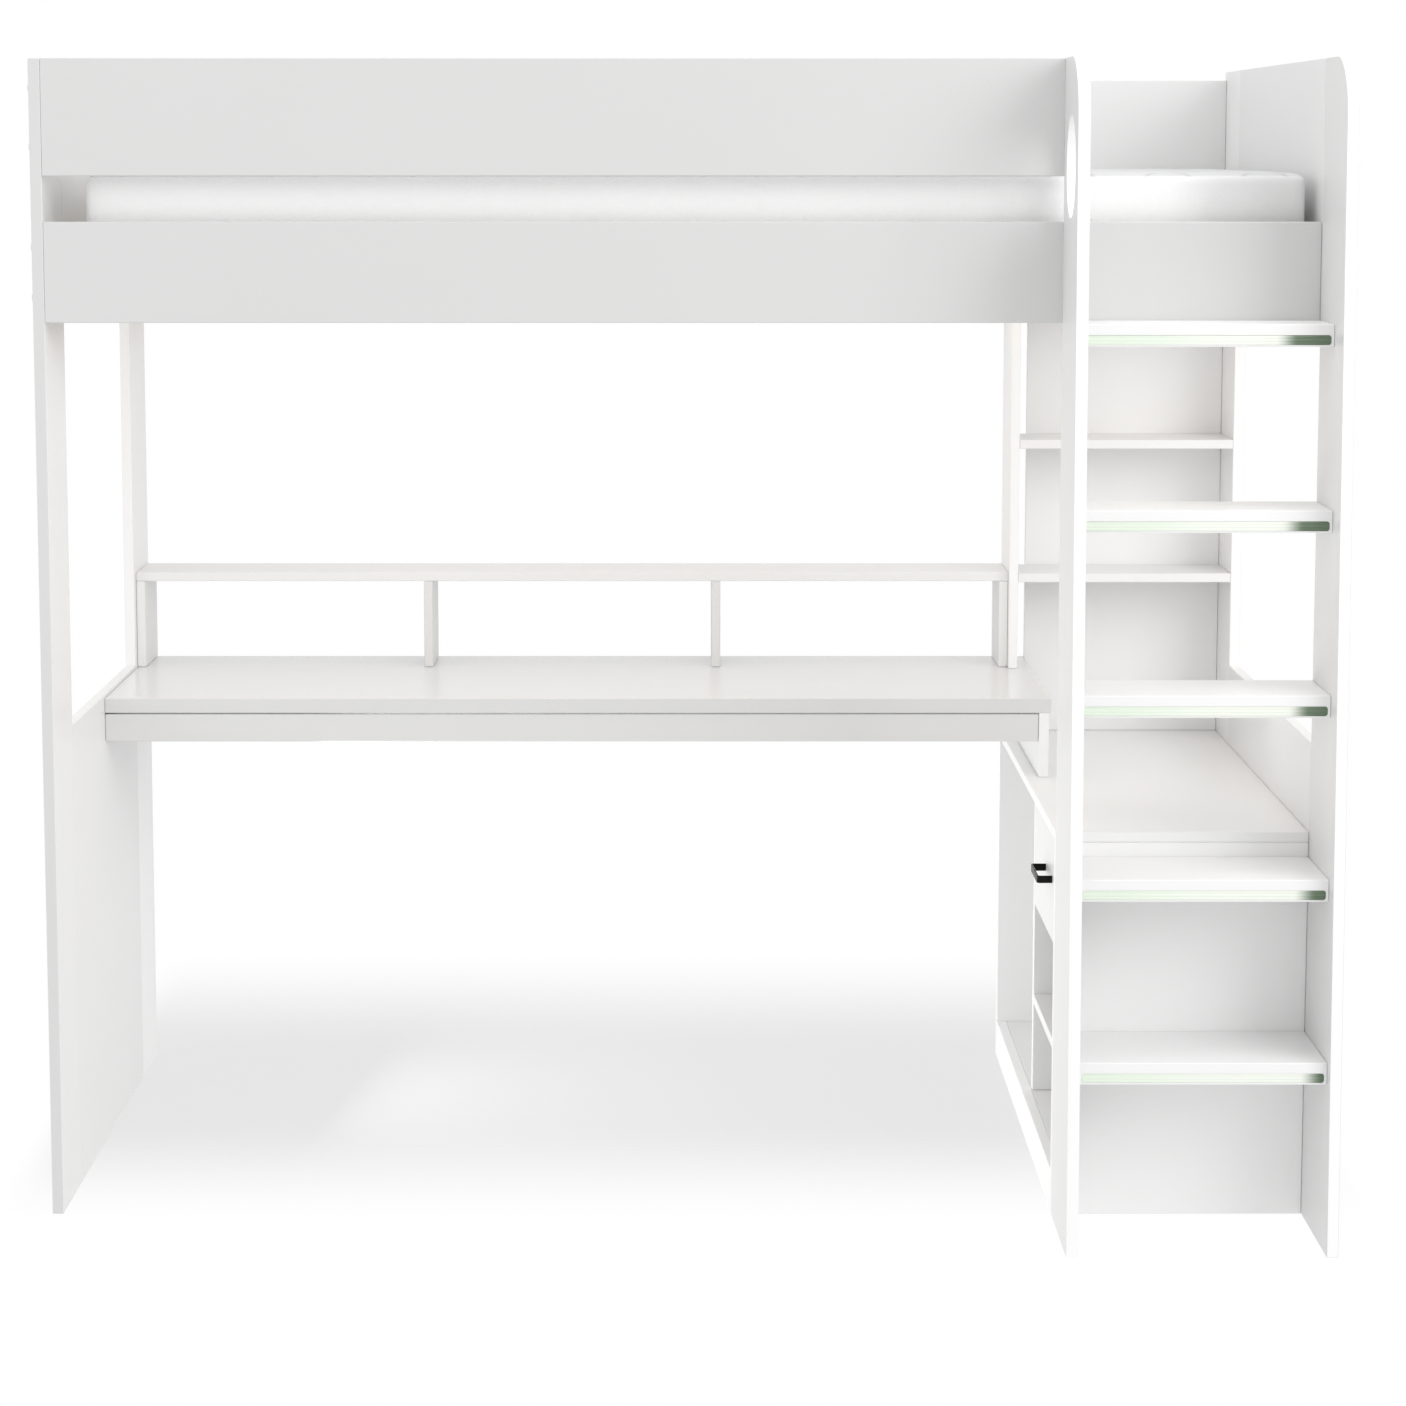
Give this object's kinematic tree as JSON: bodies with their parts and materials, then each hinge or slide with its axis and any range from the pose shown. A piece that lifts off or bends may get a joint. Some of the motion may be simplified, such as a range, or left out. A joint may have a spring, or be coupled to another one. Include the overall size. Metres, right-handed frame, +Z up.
{
  "type": "loft bed with desk",
  "caption": "White loft bed with solid guard rails, an end ladder with green-edged treads, and below it a desk with hutch, a bookcase and a side-opening cabinet with a drawer.",
  "frame": {"origin": "on the floor, under the middle of the whole object's box", "axes": "+X along the bed towards the ladder end, +Y from the front rail to the wall side, +Z up"},
  "size_m": [2, 1.199, 1.817],
  "materials": {
    "white_melamine": "satin white melamine on board, eased edges",
    "green_strip": "pale green translucent plastic",
    "black_handle": "matte black powder coat",
    "slide_steel": "zinc plated",
    "spruce": "planed, unfinished",
    "hardboard": "white painted hardboard",
    "mattress_ticking": "white knitted cover with piped edges"
  },
  "bodies": {
    "root": {"left_front_post": "white_melamine", "left_rear_post": "white_melamine", "left_lower_panel": "white_melamine", "left_upper_panel": "white_melamine", "right_rear_post": "white_melamine", "right_lower_panel": "white_melamine", "right_upper_panel": "white_melamine", "ladder_left_upright": "white_melamine", "ladder_right_upright": "white_melamine", "step_1": "white_melamine", "step_2": "white_melamine", "step_3": "white_melamine", "step_4": "white_melamine", "step_5": "white_melamine", "front_rail": "white_melamine", "rear_rail": "white_melamine", "front_guard": "white_melamine", "rear_guard": "white_melamine", "desk_top": "white_melamine", "desk_support": "white_melamine", "desk_apron": "white_melamine", "desk_cleat": "white_melamine", "hutch_top": "white_melamine", "hutch_left_side": "white_melamine", "hutch_divider_left": "white_melamine", "hutch_divider_right": "white_melamine", "hutch_right_side": "white_melamine", "bookcase_side": "white_melamine", "bookcase_back": "white_melamine", "bookcase_lower_shelf": "white_melamine", "bookcase_upper_shelf": "white_melamine", "bookcase_top": "white_melamine", "cabinet_top": "white_melamine", "cabinet_front_panel": "white_melamine", "cabinet_rear_panel": "white_melamine", "cabinet_plinth": "white_melamine", "cabinet_bottom": "white_melamine", "cabinet_divider": "white_melamine", "cabinet_shelf": "white_melamine", "step_strip_1": "green_strip", "step_strip_2": "green_strip", "step_strip_3": "green_strip", "step_strip_4": "green_strip", "step_strip_5": "green_strip", "slide_front_cabinet": "slide_steel", "slide_rear_cabinet": "slide_steel", "slat_roll": "spruce", "slat_bearer_front": "spruce", "slat_bearer_rear": "spruce", "mattress": "mattress_ticking"},
    "drawer": {"drawer_front": "white_melamine", "drawer_side_front": "white_melamine", "drawer_side_rear": "white_melamine", "drawer_back": "white_melamine", "drawer_floor": "hardboard", "drawer_handle": "black_handle", "slide_front_drawer": "slide_steel", "slide_rear_drawer": "slide_steel"},
    "slide_middles": {"slide_front_middle": "slide_steel", "slide_rear_middle": "slide_steel"}
  },
  "joints": [
    {"name": "drawer_slide", "type": "slide", "parent": "root", "child": "drawer", "axis": [-1, 0, 0], "range_m": [0, 0.25]},
    {"name": "slide_middles_slide", "type": "slide", "parent": "root", "child": "slide_middles", "axis": [-1, 0, 0], "range_m": [0, 0.125]}
  ],
  "couplings": [
    {"joint": "slide_middles_slide", "follows": "drawer_slide", "ratio": 0.5}
  ]
}
